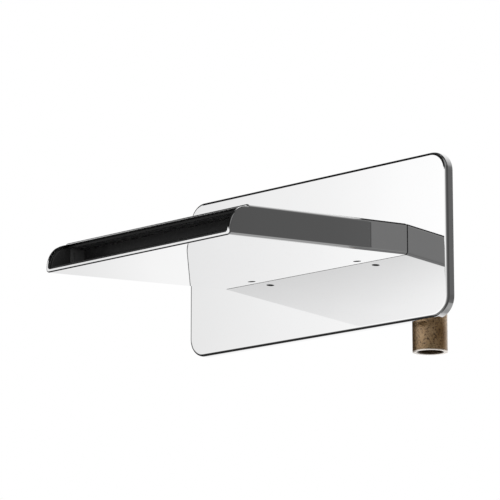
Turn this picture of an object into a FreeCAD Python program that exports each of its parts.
"""Wall-mounted waterfall bath spout with its plate, water chamber and concealed brass inlet.

Millimetres. X runs along the wall plate, Z is up, and the wall's finished face is the plane Y = 0:
the plate and the spout stand out of it towards -Y, and the brass body lies behind it. The origin is
the middle of the plate on that face. The spout slopes down, so its pieces are drawn level, about an
origin on the plate's front, and then turned by the slope.
"""

import FreeCAD
import Part
import Sketcher
import math
import os

from FreeCAD import Placement, Rotation, Vector
from types import SimpleNamespace

# Driving sizes, in millimetres, and one slope in degrees

SIZES = {
    # cover plate on the wall
    "plate_width": 270.0,
    "plate_height": 122.7,
    "plate_depth": 7.4,
    "plate_corner": 15.0,
    "plate_edge": 2.4,
    "plate_skin": 2.4,
    "plate_rim": 5.0,
    "rib_width": 1.6,
    "rib_gap": 1.6,
    "rib_inset": 22.5,
    "post_inset": 37.0,
    # sealing ring in the back of the plate's rim
    "ring_stand": 0.5,
    "ring_inset": 1.2,
    "ring_width": 2.4,
    "ring_sink": 1.0,
    "seat_play": 0.05,
    # spout shell
    "spout_width": 193.3,
    "spout_thick": 23.4,
    "spout_wall": 2.2,
    "spout_edge": 2.6,
    "spout_reach": 183.1,
    "spout_slope": 3.8,
    "cavity_corner": 2.3,
    "nose_radius": 19.5,
    "nose_round": 1.2,
    "rear_seal": 0.6,
    "rear_seal_inset": 0.4,
    # carrier that the spout is clamped on
    "tongue_width": 147.0,
    "tongue_thick": 11.0,
    "tongue_reach": 30.0,
    "window_play": 0.6,
    "window_corner": 1.0,
    "collar_width": 4.0,
    "collar_play": 0.5,
    "flange_margin": 4.5,
    "flange_thick": 6.0,
    "flange_corner": 6.0,
    "flange_sink": 1.0,
    "sheet_seal": 1.0,
    # cap screws of the carrier and of the brass body
    "bolt_radius": 2.5,
    "bolt_inset": 13.5,
    "bolt_gap": 4.75,
    "bolt_edge": 8.0,
    "bolt_head_radius": 4.25,
    "bolt_head_height": 4.0,
    "bolt_key": 4.0,
    "bolt_key_depth": 2.5,
    "bolt_short": 0.2,
    "bolt_play": 0.25,
    "thread_play": 0.05,
    # grub screws and their pads
    "grub_side": 55.4,
    "grub_reach": 10.9,
    "grub_radius": 2.95,
    "grub_recess": 2.0,
    "grub_key": 3.0,
    "grub_key_depth": 3.0,
    "boss_radius": 6.5,
    "boss_play": 1.0,
    "pad_radius": 2.55,
    "pad_thick": 1.5,
    # feed tubes between the tongue and the chamber
    "feed_margin": 15.0,
    "feed_cover": 1.3,
    "feed_wall": 1.6,
    "feed_step": 0.7,
    "feed_play": 0.1,
    "feed_depth": 9.0,
    "feed_collar": 3.0,
    "feed_collar_inset": 0.3,
    "socket_play": 0.5,
    "cord_groove": 1.0,
    "cord_slack": 0.02,
    "cord_setback": 4.5,
    # water chamber
    "chamber_play": 0.4,
    "chamber_wall": 2.5,
    "chamber_roof": 2.0,
    "chamber_back": 10.0,
    "floor_thick": 3.0,
    "floor_margin": 0.2,
    "floor_corner": 2.2,
    "seal_thick": 1.0,
    "seal_band": 9.0,
    "screw_radius": 1.25,
    "screw_head_radius": 2.8,
    "screw_head_height": 1.6,
    "screw_length": 11.0,
    "screw_inset": 6.4,
    "screw_edge": 6.5,
    "pillar_radius": 4.0,
    "baffle_setback": 40.8,
    "baffle_thick": 1.0,
    "baffle_slot": 1.2,
    "baffle_play": 0.1,
    "baffle_hole": 2.5,
    "baffle_pitch": 8.0,
    "baffle_margin": 13.0,
    # black mouth liner
    "liner_play": 0.3,
    "liner_wall": 1.6,
    "liner_back": 2.5,
    "liner_depth": 35.8,
    "liner_recess": 0.4,
    "mouth_corner": 1.0,
    "outlet_inset": 10.0,
    "outlet_height": 5.0,
    "outlet_sill": 1.0,
    "end_flat": 0.05,
    "tab_width": 5.0,
    "tab_height": 8.2,
    "tab_gap": 0.8,
    "tab_offset": 13.2,
    "tab_level": 0.4,
    # concealed brass body
    "inlet_radius": 13.0,
    "inlet_drop": 80.2,
    "inlet_rise": 1.5,
    "inlet_round": 5.0,
    "inlet_lip": 0.8,
    "thread_radius": 9.3,
    "thread_length": 16.0,
    "elbow_gap": 0.4,
    "spigot_length": 8.0,
    "spigot_wall": 2.0,
    "gallery_sink": 0.4,
    "gallery_stub": 4.0,
    "slot_play": 5.0,
    "slot_height": 10.0,
    "slot_stop": 4.0,
    "ear_side": 50.0,
    "ear_width": 16.0,
    "ear_thick": 6.0,
    "ear_gap": 1.75,
    "ear_edge": 7.0,
    # strainer above the inlet thread
    "strainer_gap": 0.8,
    "strainer_step": 1.0,
    "strainer_seat": 4.0,
    "strainer_thick": 2.6,
    "strainer_dish": 1.4,
    "strainer_band": 1.6,
    "strainer_hole": 0.9,
    "strainer_pitch": 2.6,
    "clip_thick": 1.0,
    "clip_band": 1.3,
    "clip_gap": 5.0,
    # plug at the end of the gallery
    "plug_length": 12.0,
    "plug_head": 24.0,
    "plug_head_height": 7.0,
    "washer_inset": 1.1,
    "washer_thick": 1.5,
    "washer_play": 0.3,
    # steel bracket on the wall
    "bracket_gap": 1.9,
    "bracket_margin": 8.0,
    "bracket_thick": 3.0,
    "bracket_lip": 8.0,
    "bracket_bend": 2.4,
    "bracket_stand": 0.4,
    "fixing_inset": 12.5,
    "fixing_edge": 10.0,
    "fixing_radius": 3.25,
}

FEEDS = (-2, -1, 0, 1, 2)
SIDES = (-1, 1)
UP = Vector(0, 0, 1)
TILT_AXIS = Vector(1, 0, 0)


class Size:
    """A length with its number and the sheet formula that it comes from."""

    def __init__(self, number, formula):
        self.number = number
        self.formula = formula

    def __add__(self, other):
        return joined(self, "+", other)

    def __radd__(self, other):
        return joined(other, "+", self)

    def __sub__(self, other):
        return joined(self, "-", other)

    def __rsub__(self, other):
        return joined(other, "-", self)

    def __mul__(self, other):
        return joined(self, "*", other)

    def __rmul__(self, other):
        return joined(other, "*", self)

    def __truediv__(self, other):
        return joined(self, "/", other)

    def __neg__(self):
        return joined(0, "-", self)


def as_size(item):
    return item if isinstance(item, Size) else Size(float(item), repr(float(item)))


def joined(first, sign, second):
    """Two sizes combined, both as a number and as a formula."""
    a = as_size(first)
    b = as_size(second)
    if sign == "+":
        number = a.number + b.number
    elif sign == "-":
        number = a.number - b.number
    elif sign == "*":
        number = a.number * b.number
    else:
        number = a.number / b.number
    return Size(number, f"({a.formula} {sign} {b.formula})")


def square_root(item):
    return Size(math.sqrt(item), f"sqrt({item})")


def tangent(angle):
    return Size(math.tan(math.radians(angle.number)), f"tan({angle.formula} * 1 deg)")


def sine(angle):
    return Size(math.sin(math.radians(angle.number)), f"sin({angle.formula} * 1 deg)")


def cosine(angle):
    return Size(math.cos(math.radians(angle.number)), f"cos({angle.formula} * 1 deg)")


doc = FreeCAD.newDocument("bath_spout")
sheet = doc.addObject("Spreadsheet::Sheet", "Sizes")
size = SimpleNamespace()
for row, (name, number) in enumerate(SIZES.items(), start=1):
    sheet.set(f"A{row}", name)
    sheet.set(f"B{row}", str(number))
    sheet.setAlias(f"B{row}", name)
    setattr(size, name, Size(number, f"Sizes.{name}"))
doc.recompute()

# Plate, by its distance from the wall

PLATE_FRONT = size.ring_stand + size.plate_depth
PLATE_HOLLOW = size.plate_depth - size.plate_skin

# Spout, about the middle of its thickness

CAVITY_WIDTH = size.spout_width - 2 * size.spout_wall
CAVITY_HEIGHT = size.spout_thick - 2 * size.spout_wall
CAVITY_FLOOR = CAVITY_HEIGHT / 2
UNDERSIDE = size.spout_thick / 2
NOSE_CENTRE = size.spout_reach - size.nose_radius

# Tongue under the spout's roof, its flange and the screws round it

TONGUE_MID = CAVITY_FLOOR - size.tongue_thick / 2
TONGUE_UNDER = size.tongue_thick - CAVITY_FLOOR
COLLAR_REACH = size.tongue_thick / 2 + size.collar_play + size.collar_width
BOLT_LEVEL = COLLAR_REACH + size.bolt_gap + size.bolt_head_radius
FLANGE_WIDTH = size.tongue_width + 2 * size.flange_margin
FLANGE_HEIGHT = 2 * (BOLT_LEVEL + size.bolt_edge)
FLANGE_BACK = size.flange_sink + size.flange_thick
BOLT_SIDE = FLANGE_WIDTH / 2 - size.bolt_inset
BODY_FACE = FLANGE_BACK + size.sheet_seal
TONGUE_ROOT = PLATE_FRONT + size.flange_sink + size.flange_thick / 2

# Grub screws

GRUB_TIP = TONGUE_UNDER + size.pad_thick
GRUB_LENGTH = UNDERSIDE - GRUB_TIP - size.grub_recess
BOSS_HEIGHT = CAVITY_HEIGHT - size.tongue_thick - size.boss_play

# Feed tubes

FEED_PITCH = (size.tongue_width - 2 * size.feed_margin) / (len(FEEDS) - 1)
FEED_RADIUS = size.tongue_thick / 2 - size.feed_cover
FEED_SOCKET = FEED_RADIUS + size.feed_play
FEED_CHANNEL = FEED_RADIUS - size.feed_step
FEED_COLLAR_RADIUS = size.tongue_thick / 2 - size.feed_collar_inset
CORD_RADIUS = (size.cord_groove + size.feed_play - size.cord_slack) / 2

# Chamber and liner, by their distance along the spout

CHAMBER_REAR = size.tongue_reach + size.feed_collar
LINER_FACE = size.spout_reach - size.liner_depth
CHAMBER_FRONT = LINER_FACE - size.liner_back
CHAMBER_LENGTH = CHAMBER_FRONT - CHAMBER_REAR
CHAMBER_MIDDLE = (CHAMBER_FRONT + CHAMBER_REAR) / 2
CHAMBER_WIDTH = CAVITY_WIDTH - 2 * size.chamber_play
CHAMBER_INNER = CHAMBER_WIDTH - 2 * size.chamber_wall
SEAL_LEVEL = CAVITY_FLOOR - size.floor_thick
HOUSING_LEVEL = SEAL_LEVEL - size.seal_thick
HOUSING_HEIGHT = HOUSING_LEVEL + CAVITY_FLOOR - size.chamber_play
HOUSING_HOLLOW = HOUSING_HEIGHT - size.chamber_roof
FLOOR_WIDTH = CAVITY_WIDTH - 2 * (size.cavity_corner + size.floor_margin)
SCREW_SIDE = CHAMBER_WIDTH / 2 - size.screw_inset
BAFFLE_REACH = CHAMBER_FRONT - size.baffle_setback
OUTLET_WIDTH = CHAMBER_WIDTH - 2 * size.outlet_inset
OUTLET_LEVEL = HOUSING_LEVEL - size.outlet_sill - size.outlet_height / 2
TAB_REACH = LINER_FACE + size.tab_offset

# Brass body and bracket, by their distance behind the wall's face

BODY_END = FLANGE_WIDTH / 2
INLET_SIDE = BODY_END + size.elbow_gap + size.inlet_radius
INLET_DEPTH = BODY_FACE + size.gallery_sink + size.inlet_radius
GALLERY_END = BODY_END + size.gallery_stub
STRAINER_RADIUS = size.thread_radius - size.strainer_gap
STRAINER_LEVEL = size.inlet_drop - size.thread_length - size.strainer_seat
WATER_RADIUS = STRAINER_RADIUS - size.strainer_step
PLUG_RADIUS = WATER_RADIUS - size.thread_play
SPIGOT_RADIUS = WATER_RADIUS + size.spigot_wall
SLOT_WIDTH = FEED_PITCH * (len(FEEDS) - 1) + 2 * FEED_CHANNEL + size.slot_play
SLOT_DEPTH = INLET_DEPTH - BODY_FACE - size.slot_stop
EAR_LEVEL = FLANGE_HEIGHT / 2 + size.ear_gap + size.bolt_head_radius
EAR_HEIGHT = 2 * (EAR_LEVEL + size.ear_edge)
BRACKET_FACE = INLET_DEPTH + size.inlet_radius + size.bracket_stand
BRACKET_BACK = BRACKET_FACE + size.bracket_thick
BRACKET_WIDTH = 2 * (INLET_SIDE - size.inlet_radius - size.bracket_gap)
BRACKET_HEIGHT = EAR_HEIGHT + 2 * size.bracket_margin
FIXING_SIDE = BRACKET_WIDTH / 2 - size.fixing_inset
FIXING_LEVEL = BRACKET_HEIGHT / 2 - size.fixing_edge


def corners(side, level):
    """The four points at a distance to each side and above and below."""
    return [(across * side, up * level) for across in SIDES for up in SIDES]


FEED_SPOTS = [(step * FEED_PITCH, 0) for step in FEEDS]
BOLT_SPOTS = corners(BOLT_SIDE, BOLT_LEVEL)
EAR_SPOTS = corners(size.ear_side, EAR_LEVEL)
FIXING_SPOTS = corners(FIXING_SIDE, FIXING_LEVEL)
GRUB_SPOTS = [(side * size.grub_side, -size.grub_reach) for side in SIDES]
SCREW_ROWS = (CHAMBER_REAR + size.screw_edge, CHAMBER_MIDDLE, CHAMBER_FRONT - size.screw_edge)
SCREW_SPOTS = [(side * SCREW_SIDE, -row) for side in SIDES for row in SCREW_ROWS]
CORD_ROWS = (size.tongue_reach - size.cord_setback, CHAMBER_REAR + size.cord_setback)

parts = []

# Drawing helpers


def slope_down(piece):
    """Turns a piece that was drawn level to the slope of the spout."""
    piece.Placement = Placement(
        Vector(0, -PLATE_FRONT.number, 0), Rotation(TILT_AXIS, size.spout_slope.number)
    )
    piece.setExpression("Placement.Base.y", (-PLATE_FRONT).formula)
    piece.setExpression("Placement.Rotation.Angle", size.spout_slope.formula)


def new_body(label, on_spout=False):
    """A piece of its own."""
    body = doc.addObject("PartDesign::Body", label)
    body.Label = label
    if on_spout:
        slope_down(body)
    parts.append(body)
    return body


def new_sketch(body, plane, x=0, y=0, out=0, slope=None):
    """A sketch on one of the body's planes, moved in it by x and y and out of it.

    XZ faces the room, so its way out is -Y. YZ faces right and XY faces up.
    """
    sketch = body.newObject("Sketcher::SketchObject", f"{body.Label}_sketch")
    role = f"{plane}_Plane"
    support = next(item for item in body.Origin.OriginFeatures if item.Role == role)
    sketch.AttachmentSupport = [(support, "")]
    sketch.MapMode = "FlatFace"
    move = [as_size(item) for item in (x, y, out)]
    turn = Rotation(TILT_AXIS, slope.number) if slope else Rotation()
    sketch.AttachmentOffset = Placement(Vector(*[item.number for item in move]), turn)
    for axis, item in zip("xyz", move):
        sketch.setExpression(f"AttachmentOffset.Base.{axis}", item.formula)
    if slope:
        sketch.setExpression("AttachmentOffset.Rotation.Angle", slope.formula)
    return sketch


def dimension(sketch, kind, references, length):
    """A dimension tied to the sheet. A distance that points backwards swaps its two ends."""
    if length.number < 0:
        references = references[2:] + references[:2]
        length = -length
    index = sketch.addConstraint(Sketcher.Constraint(kind, *references, length.number))
    sketch.setExpression(f"Constraints[{index}]", length.formula)


def place_point(sketch, piece, end, x, y):
    """Holds one point of a drawn piece at x, y from the sketch's origin."""
    for kind, axis, item in (("DistanceX", -2, x), ("DistanceY", -1, y)):
        item = as_size(item)
        if item.number == 0:
            sketch.addConstraint(Sketcher.Constraint("PointOnObject", piece, end, axis))
        else:
            dimension(sketch, kind, (-1, 1, piece, end), item)


def spot(x, y):
    return Vector(as_size(x).number, as_size(y).number, 0)


def draw_circle(sketch, radius, x=0, y=0):
    index = sketch.addGeometry(Part.Circle(spot(x, y), UP, radius.number), False)
    dimension(sketch, "Radius", (index,), radius)
    place_point(sketch, index, 3, x, y)


def draw_circles(sketch, radius, spots):
    for x, y in spots:
        draw_circle(sketch, radius, x, y)


def draw_path(sketch, points):
    """Straight lines from point to point, with every point held in its place."""
    spots = [spot(x, y) for x, y in points]
    lines = [
        sketch.addGeometry(Part.LineSegment(start, end), False) for start, end in zip(spots, spots[1:])
    ]
    for line, follower in zip(lines, lines[1:]):
        sketch.addConstraint(Sketcher.Constraint("Coincident", line, 2, follower, 1))
    for line, point in zip(lines, points):
        place_point(sketch, line, 1, *point)
    place_point(sketch, lines[-1], 2, *points[-1])
    return lines


def draw_outline(sketch, points):
    """A closed outline of straight lines."""
    lines = draw_path(sketch, points)
    closing = sketch.addGeometry(Part.LineSegment(spot(*points[-1]), spot(*points[0])), False)
    sketch.addConstraint(Sketcher.Constraint("Coincident", lines[-1], 2, closing, 1))
    sketch.addConstraint(Sketcher.Constraint("Coincident", closing, 2, lines[0], 1))


def draw_rectangle(sketch, width, height, x=0, y=0):
    """A plain rectangle about a middle point."""
    left = x - width / 2
    right = x + width / 2
    low = y - height / 2
    high = y + height / 2
    draw_outline(sketch, [(left, low), (right, low), (right, high), (left, high)])


def draw_rounded(sketch, width, height, radius):
    """A rectangle with round corners about the sketch's origin."""
    reach_x = width.number / 2 - radius.number
    reach_y = height.number / 2 - radius.number
    quarter = math.pi / 2
    arcs = []
    for turn, (side_x, side_y) in enumerate(((1, 1), (-1, 1), (-1, -1), (1, -1))):
        circle = Part.Circle(Vector(side_x * reach_x, side_y * reach_y, 0), UP, radius.number)
        arc = Part.ArcOfCircle(circle, turn * quarter, (turn + 1) * quarter)
        arcs.append(sketch.addGeometry(arc, False))
    lines = []
    for arc, follower in zip(arcs, arcs[1:] + arcs[:1]):
        edge = Part.LineSegment(sketch.getPoint(arc, 2), sketch.getPoint(follower, 1))
        line = sketch.addGeometry(edge, False)
        sketch.addConstraint(Sketcher.Constraint("Tangent", arc, 2, line, 1))
        sketch.addConstraint(Sketcher.Constraint("Tangent", line, 2, follower, 1))
        sketch.addConstraint(Sketcher.Constraint("Vertical" if len(lines) % 2 else "Horizontal", line))
        lines.append(line)
    for arc in arcs[1:]:
        sketch.addConstraint(Sketcher.Constraint("Equal", arcs[0], arc))
    sketch.addConstraint(Sketcher.Constraint("Symmetric", arcs[0], 3, arcs[2], 3, -1, 1))
    dimension(sketch, "Radius", (arcs[0],), radius)
    dimension(sketch, "DistanceX", (lines[1], 1, lines[3], 1), width)
    dimension(sketch, "DistanceY", (lines[2], 1, lines[0], 1), height)


def draw_slot(sketch, width, height):
    """A long slot with round ends."""
    draw_rounded(sketch, width, height, height / 2 - size.end_flat)


def draw_hexagon(sketch, across_flats, x=0, y=0):
    """A regular hexagon by its width across flats."""
    radius = across_flats / square_root(3)
    rim = sketch.addGeometry(Part.Circle(spot(x, y), UP, radius.number), True)
    turns = [math.radians(60 * step) for step in range(7)]
    points = [
        spot(x, y) + Vector(math.cos(turn), math.sin(turn), 0) * radius.number for turn in turns
    ]
    edges = [
        sketch.addGeometry(Part.LineSegment(start, end), False) for start, end in zip(points, points[1:])
    ]
    for edge, follower in zip(edges, edges[1:] + edges[:1]):
        sketch.addConstraint(Sketcher.Constraint("Coincident", edge, 2, follower, 1))
        sketch.addConstraint(Sketcher.Constraint("PointOnObject", edge, 1, rim))
    for edge in edges[1:]:
        sketch.addConstraint(Sketcher.Constraint("Equal", edges[0], edge))
    sketch.addConstraint(Sketcher.Constraint("Horizontal", edges[1]))
    dimension(sketch, "Radius", (rim,), radius)
    place_point(sketch, rim, 3, x, y)


def add(body, sketch, length, backwards=False):
    """Grows the sketch into the piece, along the way that the sketch faces."""
    pad = body.newObject("PartDesign::Pad", f"{body.Label}_pad")
    pad.Profile = sketch
    pad.Reversed = backwards
    pad.Length = length.number
    pad.setExpression("Length", length.formula)
    doc.recompute()


def cut(body, sketch, length=None, forwards=False, both_ways=False):
    """Takes the sketch out of the piece, against the way that it faces, and makes sure that it did."""
    before = body.Shape.Volume
    pocket = body.newObject("PartDesign::Pocket", f"{body.Label}_pocket")
    pocket.Profile = sketch
    pocket.Reversed = forwards
    pocket.SideType = "Symmetric" if both_ways else "One side"
    if length is None:
        pocket.Type = "ThroughAll"
    else:
        pocket.Length = length.number
        pocket.setExpression("Length", length.formula)
    doc.recompute()
    if not body.Shape.Volume < before:
        raise RuntimeError(f"a cut in {body.Label} took nothing away")
    return pocket


def soften(body, kind, amount, wanted):
    """Rounds or bevels the edges of the piece whose boxes are wanted."""
    base = body.Tip
    names = [
        f"Edge{index}" for index, edge in enumerate(base.Shape.Edges, start=1) if wanted(edge.BoundBox)
    ]
    feature = body.newObject(f"PartDesign::{kind}", f"{body.Label}_{kind.lower()}")
    feature.Base = (base, names)
    measure = "Radius" if kind == "Fillet" else "Size"
    setattr(feature, measure, amount.number)
    feature.setExpression(measure, amount.formula)
    doc.recompute()


def lies_at(low, high, place):
    """Whether a stretch from low to high lies flat at a place."""
    tolerance = 0.01
    return abs(low - place.number) < tolerance and abs(high - place.number) < tolerance


# Cover plate and its sealing ring


def make_wall_plate():
    body = new_body("wall_plate")
    block = new_sketch(body, "XZ", out=size.ring_stand)
    draw_rounded(block, size.plate_width, size.plate_height, size.plate_corner)
    add(body, block, size.plate_depth)
    soften(body, "Fillet", size.plate_edge, lambda box: lies_at(box.YMin, box.YMax, -PLATE_FRONT))
    hollow_width = size.plate_width - 2 * size.plate_rim
    hollow_height = size.plate_height - 2 * size.plate_rim
    hollow = new_sketch(body, "XZ", out=size.ring_stand)
    draw_rounded(hollow, hollow_width, hollow_height, size.plate_corner - size.plate_rim)
    cut(body, hollow, PLATE_HOLLOW, forwards=True)
    skin = size.ring_stand + PLATE_HOLLOW
    rib_height = PLATE_HOLLOW - size.rib_gap
    rib_level = size.plate_height / 2 - size.rib_inset
    post_side = size.plate_width / 2 - size.post_inset
    ribs = new_sketch(body, "XZ", out=skin)
    posts = new_sketch(body, "XZ", out=skin)
    for side in SIDES:
        draw_rectangle(ribs, hollow_width + size.rib_width, size.rib_width, y=side * rib_level)
        draw_rectangle(posts, size.rib_width, hollow_height + size.rib_width, x=side * post_side)
    add(body, ribs, rib_height, backwards=True)
    add(body, posts, rib_height, backwards=True)
    groove = new_sketch(body, "XZ", out=size.ring_stand)
    draw_plate_band(groove, size.ring_inset, size.ring_width)
    cut(body, groove, size.ring_sink, forwards=True)
    window = new_sketch(body, "XZ", y=TONGUE_MID, out=PLATE_FRONT)
    play = 2 * size.window_play
    draw_rounded(window, size.tongue_width + play, size.tongue_thick + play, size.window_corner)
    cut(body, window)


def draw_plate_band(sketch, inset, width):
    """A band that follows the plate's outline."""
    for gap in (inset, inset + width):
        draw_rounded(
            sketch, size.plate_width - 2 * gap, size.plate_height - 2 * gap, size.plate_corner - gap
        )


def make_plate_gasket():
    body = new_body("plate_gasket")
    band = new_sketch(body, "XZ")
    draw_plate_band(band, size.ring_inset + size.seat_play, size.ring_width - 2 * size.seat_play)
    add(body, band, size.ring_stand + size.ring_sink)


def make_window_seal():
    """Rubber collar round the tongue, squeezed between the plate and the carrier's flange."""
    body = new_body("window_seal")
    length = size.flange_sink + size.ring_stand + PLATE_HOLLOW
    climb = (PLATE_FRONT + size.flange_sink - length / 2) * tangent(size.spout_slope)
    band = new_sketch(body, "XZ", y=TONGUE_MID + climb, out=-size.flange_sink)
    inner_width = size.tongue_width + 2 * size.collar_play
    inner_height = size.tongue_thick + 2 * size.collar_play
    draw_rounded(band, inner_width, inner_height, size.window_corner)
    draw_rounded(
        band,
        inner_width + 2 * size.collar_width,
        inner_height + 2 * size.collar_width,
        size.window_corner + size.collar_width,
    )
    add(body, band, length)


# Spout shell and its seal


def make_spout_shell():
    body = new_body("spout_shell", on_spout=True)
    lead = UNDERSIDE * tangent(size.spout_slope)
    outline = new_sketch(body, "XZ", out=-lead)
    draw_rounded(outline, size.spout_width, size.spout_thick, size.spout_edge)
    add(body, outline, size.spout_reach + lead)
    cavity = new_sketch(body, "XZ", out=size.spout_reach)
    draw_rounded(cavity, CAVITY_WIDTH, CAVITY_HEIGHT, size.cavity_corner)
    cut(body, cavity)
    trim_rear(body)
    trim_nose(body, NOSE_CENTRE, size.nose_radius)
    root = size.spout_wall / 2
    bosses = new_sketch(body, "XY", out=-(CAVITY_FLOOR + root))
    draw_circles(bosses, size.boss_radius, GRUB_SPOTS)
    add(body, bosses, root + BOSS_HEIGHT)
    bores = new_sketch(body, "XY", out=-UNDERSIDE)
    draw_circles(bores, size.grub_radius + size.thread_play, GRUB_SPOTS)
    cut(body, bores, size.spout_wall + BOSS_HEIGHT, forwards=True)

    def on_lips(box):
        lower = lies_at(box.YMin, box.YMax, -size.spout_reach) and lies_at(box.ZMin, box.ZMax, -UNDERSIDE)
        upper = lies_at(box.YMin, box.YMax, -NOSE_CENTRE) and lies_at(box.ZMin, box.ZMax, UNDERSIDE)
        return lower or upper

    soften(body, "Fillet", size.nose_round, on_lips)


def trim_rear(body):
    """Cuts the spout's end upright, so that it lies against the plate's seal."""
    beyond = size.spout_thick
    lean = beyond * tangent(size.spout_slope)
    gap = size.rear_seal / cosine(size.spout_slope)
    profile = new_sketch(body, "YZ")
    draw_outline(
        profile, [(-lean - gap, -beyond), (beyond, -beyond), (beyond, beyond), (lean - gap, beyond)]
    )
    cut(body, profile, 2 * size.spout_width, both_ways=True)


def trim_nose(body, centre, radius):
    """Cuts the side walls to a quarter round that rises from the floor's upper face."""
    low = -CAVITY_FLOOR
    above = low + radius + size.spout_thick
    beyond = -(size.spout_reach + size.spout_thick)
    profile = new_sketch(body, "YZ")
    points = [
        (-centre, low + radius),
        (-centre, above),
        (beyond, above),
        (beyond, low),
        (-centre - radius, low),
    ]
    lines = draw_path(profile, points)
    circle = Part.Circle(spot(-centre, low), UP, radius.number)
    arc = profile.addGeometry(Part.ArcOfCircle(circle, math.pi / 2, math.pi), False)
    profile.addConstraint(Sketcher.Constraint("Coincident", arc, 1, lines[0], 1))
    profile.addConstraint(Sketcher.Constraint("Coincident", arc, 2, lines[-1], 2))
    dimension(profile, "Radius", (arc,), radius)
    cut(body, profile, 2 * size.spout_width, both_ways=True)


def make_spout_gasket():
    body = new_body("spout_gasket")
    band = new_sketch(body, "XZ", out=PLATE_FRONT)
    inset = size.rear_seal_inset
    draw_rounded(
        band, size.spout_width - 2 * inset, size.spout_thick - 2 * inset, size.spout_edge - inset
    )
    draw_rounded(band, CAVITY_WIDTH + 2 * inset, CAVITY_HEIGHT + 2 * inset, size.cavity_corner + inset)
    add(body, band, size.rear_seal)


# Carrier and what holds it


def tongue_sketch(body, reach=0):
    """A sketch square to the sloping tongue, a distance out of the plate."""
    drop = reach * sine(size.spout_slope)
    out = PLATE_FRONT + reach * cosine(size.spout_slope)
    return new_sketch(body, "XZ", y=-drop, out=out, slope=size.spout_slope)


def make_carrier_flange():
    """Brass plate with a slot for the tongue, which is brazed into it."""
    body = new_body("carrier_flange")
    plate = new_sketch(body, "XZ", y=TONGUE_MID, out=-FLANGE_BACK)
    draw_rounded(plate, FLANGE_WIDTH, FLANGE_HEIGHT, size.flange_corner)
    add(body, plate, size.flange_thick)
    slot = tongue_sketch(body, -TONGUE_ROOT)
    play = 2 * size.seat_play
    draw_rectangle(slot, size.tongue_width + play, size.tongue_thick + play, y=TONGUE_MID)
    cut(body, slot, size.flange_thick, forwards=True)
    channels = tongue_sketch(body)
    draw_circles(channels, FEED_CHANNEL, [(x, TONGUE_MID) for x, _ in FEED_SPOTS])
    cut(body, channels, both_ways=True)
    holes = new_sketch(body, "XZ", y=TONGUE_MID, out=-size.flange_sink)
    draw_circles(holes, size.bolt_radius + size.bolt_play, BOLT_SPOTS)
    cut(body, holes, size.flange_thick)


def make_carrier_tongue():
    """Flat bar that the spout is pushed on. Water flows through it in five channels."""
    body = new_body("carrier_tongue", on_spout=True)
    bar = new_sketch(body, "XZ", y=TONGUE_MID, out=-TONGUE_ROOT)
    draw_rectangle(bar, size.tongue_width, size.tongue_thick)
    add(body, bar, TONGUE_ROOT + size.tongue_reach)
    channels = new_sketch(body, "XZ", y=TONGUE_MID, out=size.tongue_reach)
    draw_circles(channels, FEED_CHANNEL, FEED_SPOTS)
    cut(body, channels)
    sockets = new_sketch(body, "XZ", y=TONGUE_MID, out=size.tongue_reach)
    draw_circles(sockets, FEED_SOCKET, FEED_SPOTS)
    cut(body, sockets, size.feed_depth + size.socket_play)


def make_carrier_gasket():
    body = new_body("carrier_gasket")
    sheet_seal = new_sketch(body, "XZ", y=TONGUE_MID, out=-BODY_FACE)
    draw_rounded(sheet_seal, FLANGE_WIDTH, FLANGE_HEIGHT, size.flange_corner)
    draw_circles(sheet_seal, size.bolt_radius + size.bolt_play, BOLT_SPOTS)
    draw_slot(sheet_seal, SLOT_WIDTH, size.slot_height)
    add(body, sheet_seal, size.sheet_seal)


def make_cap_screws(label, spots, seat, length):
    """Hex-socket screws that are driven from the front. seat is the depth of the face under the heads."""
    body = new_body(label)
    heads = new_sketch(body, "XZ", y=TONGUE_MID, out=-seat)
    draw_circles(heads, size.bolt_head_radius, spots)
    add(body, heads, size.bolt_head_height)
    shanks = new_sketch(body, "XZ", y=TONGUE_MID, out=-seat)
    draw_circles(shanks, size.bolt_radius, spots)
    add(body, shanks, length - size.bolt_short, backwards=True)
    keys = new_sketch(body, "XZ", y=TONGUE_MID, out=size.bolt_head_height - seat)
    for x, y in spots:
        draw_hexagon(keys, size.bolt_key, x, y)
    cut(body, keys, size.bolt_key_depth)


# Grub screws that clamp the spout on the tongue


def make_grub_screw(label, x, y):
    body = new_body(label, on_spout=True)
    shank = new_sketch(body, "XY", x, y, out=-GRUB_TIP)
    draw_circle(shank, size.grub_radius)
    add(body, shank, GRUB_LENGTH, backwards=True)
    key = new_sketch(body, "XY", x, y, out=-(GRUB_TIP + GRUB_LENGTH))
    draw_hexagon(key, size.grub_key)
    cut(body, key, size.grub_key_depth, forwards=True)


def make_clamp_pad(label, x, y):
    """Swivelling tip of a grub screw. It presses on the tongue and doesn't turn."""
    body = new_body(label, on_spout=True)
    disc = new_sketch(body, "XY", x, y, out=-TONGUE_UNDER)
    draw_circle(disc, size.pad_radius)
    add(body, disc, size.pad_thick, backwards=True)


# Feed tubes and their sealing rings


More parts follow.
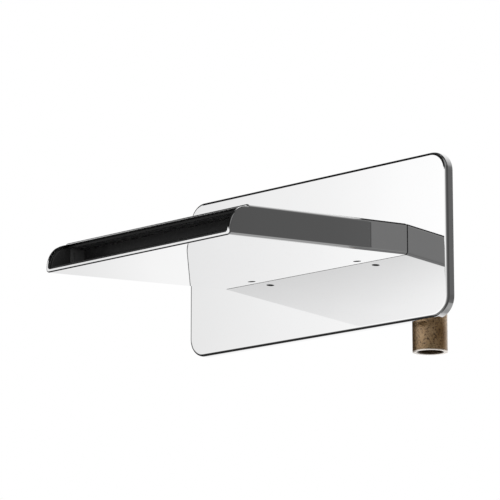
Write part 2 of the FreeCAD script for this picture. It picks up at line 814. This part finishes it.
def make_feed_nipples():
    body = new_body("feed_nipples", on_spout=True)
    rear = size.tongue_reach - size.feed_depth
    tubes = new_sketch(body, "XZ", y=TONGUE_MID, out=rear)
    draw_circles(tubes, FEED_RADIUS, FEED_SPOTS)
    add(body, tubes, 2 * size.feed_depth + size.feed_collar)
    collars = new_sketch(body, "XZ", y=TONGUE_MID, out=size.tongue_reach)
    draw_circles(collars, FEED_COLLAR_RADIUS, FEED_SPOTS)
    add(body, collars, size.feed_collar)
    half_groove = CORD_RADIUS + size.seat_play
    for row in CORD_ROWS:
        grooves = new_sketch(body, "XZ", y=TONGUE_MID, out=row - half_groove)
        draw_circles(grooves, FEED_SOCKET, FEED_SPOTS)
        draw_circles(grooves, FEED_RADIUS - size.cord_groove, FEED_SPOTS)
        cut(body, grooves, 2 * half_groove, forwards=True)
    bores = new_sketch(body, "XZ", y=TONGUE_MID, out=rear)
    draw_circles(bores, FEED_RADIUS - size.feed_wall, FEED_SPOTS)
    cut(body, bores, forwards=True)


def make_nipple_o_rings():
    group = doc.addObject("Part::Compound", "nipple_o_rings")
    group.Label = "nipple_o_rings"
    group.Links = [o_ring(x, row) for row in CORD_ROWS for x, _ in FEED_SPOTS]
    slope_down(group)
    parts.append(group)


def o_ring(x, reach):
    """One sealing ring in its groove, a distance along the spout."""
    ring = doc.addObject("Part::Torus", "nipple_o_ring")
    ring.Placement = Placement(Vector(), Rotation(TILT_AXIS, 90))
    ring.setExpression("Radius1", (FEED_RADIUS - size.cord_groove + CORD_RADIUS).formula)
    ring.setExpression("Radius2", CORD_RADIUS.formula)
    ring.setExpression("Placement.Base.x", x.formula)
    ring.setExpression("Placement.Base.y", (-reach).formula)
    ring.setExpression("Placement.Base.z", TONGUE_MID.formula)
    return ring


# Water chamber inside the spout


def make_chamber_housing():
    body = new_body("chamber_housing", on_spout=True)
    block = new_sketch(body, "XZ", y=HOUSING_HEIGHT / 2 - HOUSING_LEVEL, out=CHAMBER_REAR)
    draw_rounded(block, CHAMBER_WIDTH, HOUSING_HEIGHT, size.cavity_corner - size.chamber_play)
    add(body, block, CHAMBER_LENGTH)
    rear = CHAMBER_REAR + size.chamber_back
    front = CHAMBER_FRONT - size.chamber_wall
    hollow = new_sketch(body, "XY", y=-(rear + front) / 2, out=-HOUSING_LEVEL)
    draw_rectangle(hollow, CHAMBER_INNER, front - rear)
    cut(body, hollow, HOUSING_HOLLOW, forwards=True)
    pillars = new_sketch(body, "XY", out=-HOUSING_LEVEL)
    draw_circles(pillars, size.pillar_radius, SCREW_SPOTS)
    add(body, pillars, HOUSING_HOLLOW + size.chamber_roof / 2)
    holes = new_sketch(body, "XY", out=-HOUSING_LEVEL)
    draw_circles(holes, size.screw_radius + size.thread_play, SCREW_SPOTS)
    cut(body, holes, HOUSING_HOLLOW, forwards=True)
    inlets = new_sketch(body, "XZ", y=TONGUE_MID, out=CHAMBER_REAR)
    draw_circles(inlets, FEED_SOCKET, FEED_SPOTS)
    cut(body, inlets, size.chamber_back, forwards=True)
    outlet = new_sketch(body, "XZ", y=-OUTLET_LEVEL, out=front)
    draw_slot(outlet, OUTLET_WIDTH, size.outlet_height)
    cut(body, outlet, size.chamber_wall, forwards=True)
    groove = new_sketch(body, "XY", y=-BAFFLE_REACH, out=-HOUSING_LEVEL)
    draw_rectangle(
        groove, CHAMBER_INNER + 2 * size.baffle_slot, size.baffle_thick + 2 * size.baffle_play
    )
    cut(body, groove, HOUSING_HOLLOW, forwards=True)


def make_chamber_floor():
    body = new_body("chamber_floor", on_spout=True)
    lid = new_sketch(body, "XY", y=-CHAMBER_MIDDLE, out=-CAVITY_FLOOR)
    draw_rounded(lid, FLOOR_WIDTH, CHAMBER_LENGTH, size.floor_corner)
    add(body, lid, size.floor_thick)
    holes = new_sketch(body, "XY", out=-CAVITY_FLOOR)
    draw_circles(holes, size.screw_radius + size.bolt_play, SCREW_SPOTS)
    cut(body, holes, size.floor_thick, forwards=True)
    recesses = new_sketch(body, "XY", out=-CAVITY_FLOOR)
    draw_circles(recesses, size.screw_head_radius + size.seat_play, SCREW_SPOTS)
    cut(body, recesses, size.screw_head_height, forwards=True)


def make_chamber_seal():
    body = new_body("chamber_seal", on_spout=True)
    band = new_sketch(body, "XY", y=-CHAMBER_MIDDLE, out=-SEAL_LEVEL)
    inner = 2 * size.seal_band
    draw_rounded(band, FLOOR_WIDTH, CHAMBER_LENGTH, size.floor_corner)
    draw_rounded(band, FLOOR_WIDTH - inner, CHAMBER_LENGTH - inner, size.floor_corner)
    add(body, band, size.seal_thick)
    holes = new_sketch(body, "XY", out=-SEAL_LEVEL)
    draw_circles(holes, size.screw_radius + size.bolt_play, SCREW_SPOTS)
    cut(body, holes, size.seal_thick, forwards=True)


def make_chamber_screws():
    body = new_body("chamber_screws", on_spout=True)
    heads = new_sketch(body, "XY", out=-CAVITY_FLOOR)
    draw_circles(heads, size.screw_head_radius, SCREW_SPOTS)
    add(body, heads, size.screw_head_height)
    shanks = new_sketch(body, "XY", out=-CAVITY_FLOOR)
    draw_circles(shanks, size.screw_radius, SCREW_SPOTS)
    add(body, shanks, size.screw_length)


def make_flow_baffle():
    """Perforated strip that stands across the chamber, its ends in two grooves."""
    body = new_body("flow_baffle", on_spout=True)
    height = HOUSING_HOLLOW - size.baffle_play
    width = CHAMBER_INNER + 2 * (size.baffle_slot - size.baffle_play)
    level = height / 2 - HOUSING_LEVEL
    rear = BAFFLE_REACH - size.baffle_thick / 2
    strip = new_sketch(body, "XZ", y=level, out=rear)
    draw_rectangle(strip, width, height)
    add(body, strip, size.baffle_thick)
    room = CHAMBER_WIDTH - 2 * size.baffle_margin
    steps = int(room.number / size.baffle_pitch.number)
    span = steps * size.baffle_pitch
    hole = new_sketch(body, "XZ", y=level, out=rear)
    draw_circle(hole, size.baffle_hole, x=-span / 2)
    first = cut(body, hole, size.baffle_thick, forwards=True)
    holes = body.newObject("PartDesign::LinearPattern", "flow_baffle_holes")
    holes.Originals = [first]
    holes.Direction = (hole, ["H_Axis"])
    holes.Length = span.number
    holes.setExpression("Length", span.formula)
    holes.Occurrences = steps + 1
    body.Tip = holes
    doc.recompute()


# Black liner of the mouth


def make_mouth_liner():
    body = new_body("mouth_liner", on_spout=True)
    width = CAVITY_WIDTH - 2 * size.liner_play
    height = CAVITY_HEIGHT - 2 * size.liner_play
    block = new_sketch(body, "XZ", out=CHAMBER_FRONT)
    draw_rounded(block, width, height, size.cavity_corner - size.liner_play)
    add(body, block, size.spout_reach - CHAMBER_FRONT)
    mouth = new_sketch(body, "XZ", out=LINER_FACE)
    walls = 2 * size.liner_wall
    draw_rounded(mouth, width - walls, height - walls, size.mouth_corner)
    cut(body, mouth, forwards=True)
    roof = size.liner_play + size.liner_wall
    trim_nose(body, NOSE_CENTRE - size.liner_recess, CAVITY_HEIGHT - roof)
    outlet = new_sketch(body, "XZ", y=-OUTLET_LEVEL, out=CHAMBER_FRONT)
    draw_slot(outlet, OUTLET_WIDTH, size.outlet_height)
    cut(body, outlet, size.liner_back, forwards=True)
    cut_snap_tabs(body)


def cut_snap_tabs(body):
    """Frees a springy tab in each side wall with a U-shaped slot that is open at the top."""
    front = -TAB_REACH - size.tab_width / 2
    rear = -TAB_REACH + size.tab_width / 2
    low = size.tab_level - size.tab_height / 2
    high = size.tab_level + size.tab_height / 2
    gap = size.tab_gap
    points = [
        (front, high),
        (front, low),
        (rear, low),
        (rear, high),
        (rear - gap, high),
        (rear - gap, low + gap),
        (front + gap, low + gap),
        (front + gap, high),
    ]
    slot = new_sketch(body, "YZ")
    draw_outline(slot, points)
    cut(body, slot, 2 * size.spout_width, both_ways=True)


# Concealed brass body


def riser_sketch(body, level):
    """A sketch across the upright inlet pipe."""
    return new_sketch(body, "XY", INLET_SIDE, INLET_DEPTH, out=level)


def gallery_sketch(body, side):
    """A sketch across the gallery, which runs along the wall behind the flange."""
    return new_sketch(body, "YZ", INLET_DEPTH, TONGUE_MID, out=side)


def make_inlet_body():
    """Gallery with a flange for the carrier in front and two ears for the bracket behind."""
    body = new_body("inlet_body")
    gallery = gallery_sketch(body, -GALLERY_END)
    draw_circle(gallery, size.inlet_radius)
    add(body, gallery, GALLERY_END + BODY_END)
    flange = new_sketch(body, "XZ", y=TONGUE_MID, out=-(BODY_FACE + size.flange_thick))
    draw_rounded(flange, FLANGE_WIDTH, FLANGE_HEIGHT, size.flange_corner)
    add(body, flange, size.flange_thick)
    ears = new_sketch(body, "XZ", y=TONGUE_MID, out=-BRACKET_FACE)
    for side in SIDES:
        draw_rectangle(ears, size.ear_width, EAR_HEIGHT, x=side * size.ear_side)
    add(body, ears, size.ear_thick)
    bore = gallery_sketch(body, -GALLERY_END)
    draw_circle(bore, WATER_RADIUS)
    cut(body, bore, GALLERY_END + BODY_END, forwards=True)
    seat = gallery_sketch(body, BODY_END)
    draw_circle(seat, SPIGOT_RADIUS + size.thread_play)
    cut(body, seat, size.spigot_length + size.seat_play)
    slot = new_sketch(body, "XZ", y=TONGUE_MID, out=-BODY_FACE)
    draw_slot(slot, SLOT_WIDTH, size.slot_height)
    cut(body, slot, SLOT_DEPTH)
    threads = new_sketch(body, "XZ", y=TONGUE_MID, out=-BODY_FACE)
    draw_circles(threads, size.bolt_radius + size.thread_play, BOLT_SPOTS)
    cut(body, threads, size.flange_thick)
    holes = new_sketch(body, "XZ", y=TONGUE_MID, out=-BRACKET_FACE)
    draw_circles(holes, size.bolt_radius + size.bolt_play, EAR_SPOTS)
    cut(body, holes, size.ear_thick, forwards=True)


def make_inlet_elbow():
    """Upright socket for the pipe, with a side branch whose spigot is sealed into the gallery."""
    body = new_body("inlet_elbow")
    crown = TONGUE_MID + size.inlet_radius + size.inlet_rise
    riser = riser_sketch(body, -size.inlet_drop)
    draw_circle(riser, size.inlet_radius)
    add(body, riser, size.inlet_drop + crown)
    soften(body, "Fillet", size.inlet_round, lambda box: lies_at(box.ZMin, box.ZMax, crown))
    branch = gallery_sketch(body, BODY_END)
    draw_circle(branch, size.inlet_radius)
    add(body, branch, INLET_SIDE - BODY_END)
    spigot = gallery_sketch(body, BODY_END)
    draw_circle(spigot, SPIGOT_RADIUS)
    add(body, spigot, size.spigot_length, backwards=True)
    bore = gallery_sketch(body, BODY_END - size.spigot_length)
    draw_circle(bore, WATER_RADIUS)
    cut(body, bore, size.spigot_length + INLET_SIDE - BODY_END, forwards=True)
    steps = (
        (WATER_RADIUS, size.inlet_drop + TONGUE_MID),
        (STRAINER_RADIUS + size.seat_play, size.thread_length + size.strainer_seat),
        (size.thread_radius, size.thread_length),
    )
    for radius, depth in steps:
        step = riser_sketch(body, -size.inlet_drop)
        draw_circle(step, radius)
        cut(body, step, depth, forwards=True)

    def on_mouth(box):
        across = 2 * size.thread_radius
        return lies_at(box.ZMin, box.ZMax, -size.inlet_drop) and lies_at(box.XLength, box.YLength, across)

    soften(body, "Chamfer", size.inlet_lip, on_mouth)


def make_inlet_strainer():
    """Dished filter disc with rows of small holes, seated on the step above the inlet thread."""
    body = new_body("inlet_strainer")
    disc = riser_sketch(body, -STRAINER_LEVEL)
    draw_circle(disc, STRAINER_RADIUS)
    add(body, disc, size.strainer_thick, backwards=True)
    dish_radius = STRAINER_RADIUS - size.strainer_band
    dish = riser_sketch(body, -STRAINER_LEVEL - size.strainer_thick)
    draw_circle(dish, dish_radius)
    cut(body, dish, size.strainer_dish, forwards=True)
    reach = (dish_radius - size.strainer_hole).number / size.strainer_pitch.number
    steps = range(-int(reach), int(reach) + 1)
    holes = riser_sketch(body, -STRAINER_LEVEL)
    for row in steps:
        for column in steps:
            if math.hypot(row, column) <= reach:
                draw_circle(
                    holes, size.strainer_hole, row * size.strainer_pitch, column * size.strainer_pitch
                )
    cut(body, holes)


def make_strainer_clip():
    """Open spring ring that keeps the strainer on its step."""
    body = new_body("strainer_clip")
    top = -STRAINER_LEVEL - size.strainer_thick
    ring = riser_sketch(body, top)
    draw_circle(ring, STRAINER_RADIUS)
    draw_circle(ring, STRAINER_RADIUS - size.clip_band)
    add(body, ring, size.clip_thick, backwards=True)
    gap = riser_sketch(body, top)
    draw_rectangle(gap, size.clip_gap, STRAINER_RADIUS, y=STRAINER_RADIUS)
    cut(body, gap, size.clip_thick)


def make_gallery_plug():
    body = new_body("gallery_plug")
    seat = -(GALLERY_END + size.washer_thick)
    shank = gallery_sketch(body, seat)
    draw_circle(shank, PLUG_RADIUS)
    add(body, shank, size.washer_thick + size.plug_length)
    head = gallery_sketch(body, seat)
    draw_hexagon(head, size.plug_head)
    add(body, head, size.plug_head_height, backwards=True)


def make_plug_washer():
    body = new_body("plug_washer")
    ring = gallery_sketch(body, -GALLERY_END)
    draw_circle(ring, size.inlet_radius - size.washer_inset)
    draw_circle(ring, PLUG_RADIUS + size.washer_play)
    add(body, ring, size.washer_thick, backwards=True)


# Steel bracket


def make_wall_bracket():
    """Sheet-metal plate with a stiffening lip along its top and bottom."""
    body = new_body("wall_bracket")
    plate = new_sketch(body, "XZ", y=TONGUE_MID, out=-BRACKET_BACK)
    draw_rectangle(plate, BRACKET_WIDTH, BRACKET_HEIGHT)
    add(body, plate, size.bracket_thick)
    lips = new_sketch(body, "XZ", y=TONGUE_MID, out=-BRACKET_BACK)
    lip_level = (BRACKET_HEIGHT - size.bracket_thick) / 2
    for side in SIDES:
        draw_rectangle(lips, BRACKET_WIDTH, size.bracket_thick, y=side * lip_level)
    add(body, lips, size.bracket_thick + size.bracket_lip)

    def on_bend(box):
        edges = [TONGUE_MID + side * BRACKET_HEIGHT / 2 for side in SIDES]
        at_back = lies_at(box.YMin, box.YMax, BRACKET_BACK)
        return at_back and any(lies_at(box.ZMin, box.ZMax, edge) for edge in edges)

    soften(body, "Fillet", size.bracket_bend, on_bend)
    for radius, spots in (
        (size.fixing_radius, FIXING_SPOTS),
        (size.bolt_radius + size.thread_play, EAR_SPOTS),
    ):
        holes = new_sketch(body, "XZ", y=TONGUE_MID, out=-BRACKET_FACE)
        draw_circles(holes, radius, spots)
        cut(body, holes, size.bracket_thick)


make_wall_plate()
make_plate_gasket()
make_window_seal()
make_spout_shell()
make_spout_gasket()
make_carrier_flange()
make_carrier_tongue()
make_carrier_gasket()
make_cap_screws("carrier_bolts", BOLT_SPOTS, size.flange_sink, 2 * size.flange_thick + size.sheet_seal)
for side_name, grub_spot in zip(("left", "right"), GRUB_SPOTS):
    make_grub_screw(f"grub_screw_{side_name}", *grub_spot)
    make_clamp_pad(f"clamp_pad_{side_name}", *grub_spot)
make_feed_nipples()
make_nipple_o_rings()
make_chamber_housing()
make_chamber_floor()
make_chamber_seal()
make_chamber_screws()
make_flow_baffle()
make_mouth_liner()
make_inlet_body()
make_inlet_elbow()
make_inlet_strainer()
make_strainer_clip()
make_gallery_plug()
make_plug_washer()
make_wall_bracket()
make_cap_screws(
    "bracket_screws", EAR_SPOTS, BRACKET_FACE - size.ear_thick, size.ear_thick + size.bracket_thick
)

doc.recompute()
for item in doc.Objects:
    if {"Invalid", "Error"} & set(item.State):
        raise RuntimeError(f"{item.Name} did not rebuild: {item.State}")
for part in parts:
    if part.Shape.isNull() or not part.Shape.isValid():
        raise RuntimeError(f"{part.Label} is not a sound solid")

os.makedirs("parts", exist_ok=True)
for part in parts:
    part.Shape.exportStep(f"parts/{part.Label}.step")
    print(part.Label, len(part.Shape.Solids), round(part.Shape.Volume, 1))
